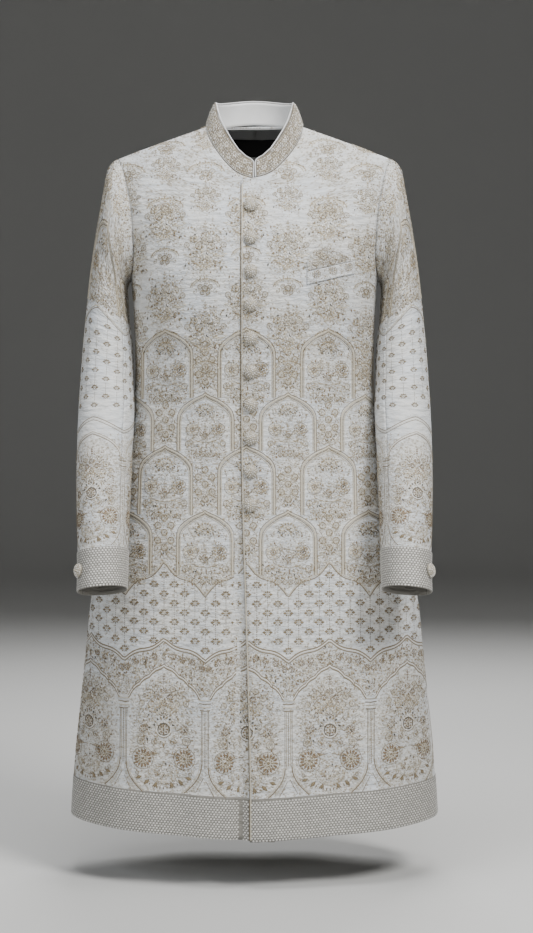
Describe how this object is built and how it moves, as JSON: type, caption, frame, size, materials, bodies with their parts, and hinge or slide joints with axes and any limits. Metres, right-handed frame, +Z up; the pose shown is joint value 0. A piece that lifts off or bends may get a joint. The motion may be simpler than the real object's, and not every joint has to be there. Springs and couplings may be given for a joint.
{
  "type": "sherwani coat",
  "caption": "Ivory sherwani coat with all-over beige and gold embroidery, stand collar, covered buttons and woven borders",
  "frame": {"origin": "midway between the two points where the shoulder seams meet the neckline, the line the wearer's shoulders carry the coat on", "axes": "+Z up along the coat's length, +X to the wearer's left, -Y to the coat's front"},
  "size_m": [0.574, 0.3861, 1.1395],
  "materials": {
    "brocade": "ivory silk with dense beige and antique gold thread work, soft sheen",
    "beaded": "cloth closely covered in cream and gold beads and thread",
    "satin": "pale satin lining and piping, smooth",
    "label": "plain black woven label, matt"
  },
  "bodies": {
    "root": {"front_left": "brocade", "front_right": "brocade", "back": "brocade", "top_sleeve_left": "brocade", "top_sleeve_right": "brocade", "under_sleeve_left": "brocade", "under_sleeve_right": "brocade", "breast_welt": "brocade", "pocket_square": "brocade", "collar": "beaded", "button_01": "beaded", "button_02": "beaded", "button_03": "beaded", "button_04": "beaded", "button_05": "beaded", "button_06": "beaded", "button_07": "beaded", "button_08": "beaded", "button_09": "beaded", "button_10": "beaded", "cuff_button_left": "beaded", "cuff_button_right": "beaded", "collar_lining": "satin", "collar_piping": "satin", "neck_facing": "satin", "neck_label": "label"}
  },
  "joints": []
}
